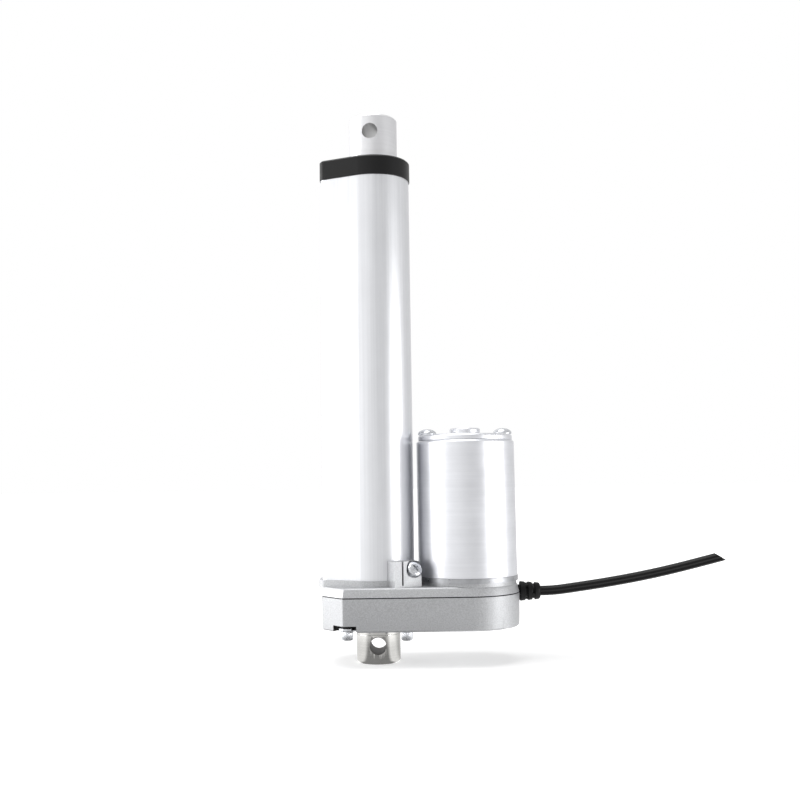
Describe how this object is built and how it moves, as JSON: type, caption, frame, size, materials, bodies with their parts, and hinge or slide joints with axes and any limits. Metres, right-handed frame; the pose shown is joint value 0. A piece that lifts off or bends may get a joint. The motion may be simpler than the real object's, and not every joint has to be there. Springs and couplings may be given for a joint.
{
  "type": "electric linear actuator",
  "caption": "Electric linear actuator with a parallel motor, spur gearbox, lead screw, sliding rod and cross-hole clevises at both ends.",
  "frame": {"origin": "centre of the rear clevis's pin hole, on the axis of the tube", "axes": "+Z along the tube to the rod end, +X from the tube to the motor, Y along the rear pin hole"},
  "size_m": [0.1588, 0.0402, 0.2194],
  "materials": {
    "plated_clevis": "bright plated steel, turned",
    "sintered_bronze": "oil-filled sintered bronze",
    "silver_paint": "fine metallic silver paint on die-cast zinc",
    "black_rubber": "moulded, matt",
    "zinc_steel": "bright zinc plate",
    "anodised_tube": "clear satin anodised extrusion",
    "black_nylon": "moulded, fine texture",
    "white_acetal": "moulded acetal",
    "bearing_steel": "ground",
    "plated_can": "drawn and zinc plated, satin",
    "zinc_plate": "dull zinc plate",
    "ferrite": "sintered ferrite",
    "brown_laminate": "phenolic laminate",
    "carbon": "pressed carbon",
    "red_insulation": "PVC insulation",
    "green_laminate": "glass laminate",
    "switch_plastic": "moulded",
    "black_cable": "PVC sheath, satin",
    "polished_rod": "polished, clear anodised",
    "lead_screw_steel": "rolled, greased",
    "sintered_iron": "sintered",
    "brass": "hobbed",
    "laminated_steel": "stacked laminations",
    "copper_wire": "enamelled wire"
  },
  "bodies": {
    "base": {"rear_clevis": "plated_clevis", "clevis_bush": "sintered_bronze", "gearbox_housing": "silver_paint", "housing_gasket": "black_rubber", "gearbox_cover": "silver_paint", "tube_clamp_screw": "zinc_steel", "housing_screws": "zinc_steel", "screw_washers": "zinc_steel", "outer_tube": "anodised_tube", "tube_end_cap": "black_nylon", "rod_guide_bush": "white_acetal", "rod_wiper": "black_rubber", "bearing_outer_race": "bearing_steel", "bearing_balls": "bearing_steel", "bearing_retainer": "zinc_steel", "idler_axle": "bearing_steel", "motor_can": "plated_can", "motor_front_plate": "zinc_plate", "motor_mount_screws": "zinc_steel", "motor_front_bush": "sintered_bronze", "motor_end_cap": "plated_can", "motor_cap_screws": "zinc_steel", "motor_rear_bush": "sintered_bronze", "motor_magnets": "ferrite", "brush_card": "brown_laminate", "brushes": "carbon", "motor_leads": "red_insulation", "switch_board": "green_laminate", "lower_limit_switch": "switch_plastic", "upper_limit_switch": "switch_plastic", "cable_grommet": "black_rubber", "power_cable": "black_cable"},
    "rod": {"rod_tube": "polished_rod", "rod_end": "polished_rod", "drive_nut": "white_acetal", "nut_pins": "bearing_steel"},
    "screw": {"lead_screw": "lead_screw_steel", "gear_drive_pin": "bearing_steel", "screw_gear": "sintered_iron", "gear_circlip": "zinc_steel", "gear_spacer": "zinc_steel", "bearing_inner_race": "bearing_steel"},
    "idler": {"idler_pinion": "sintered_iron", "idler_wheel": "white_acetal"},
    "rotor": {"motor_shaft": "bearing_steel", "motor_pinion": "brass", "rotor_core": "laminated_steel", "rotor_windings": "copper_wire", "commutator": "copper_wire"}
  },
  "joints": [
    {"name": "rod_slide", "type": "slide", "parent": "base", "child": "rod", "axis": [0, 0, 1], "range_m": [0, 0.1]},
    {"name": "screw_spin", "type": "hinge", "parent": "base", "child": "screw", "pos_m": [0, 0, 0.015], "axis": [0, 0, 1], "range_deg": [-12000.01, 0]},
    {"name": "idler_spin", "type": "hinge", "parent": "base", "child": "idler", "pos_m": [0.0196, 0, 0.015], "axis": [0, 0, 1], "range_deg": [0, 37000.01]},
    {"name": "rotor_spin", "type": "hinge", "parent": "base", "child": "rotor", "pos_m": [0.0356, 0, 0.05], "axis": [0, 0, 1], "range_deg": [-160333.34, 0]}
  ],
  "couplings": [
    {"joint": "screw_spin", "follows": "rod_slide", "rad_per_m": -2094.4},
    {"joint": "idler_spin", "follows": "rod_slide", "rad_per_m": 6457.7},
    {"joint": "rotor_spin", "follows": "rod_slide", "rad_per_m": -27983}
  ]
}
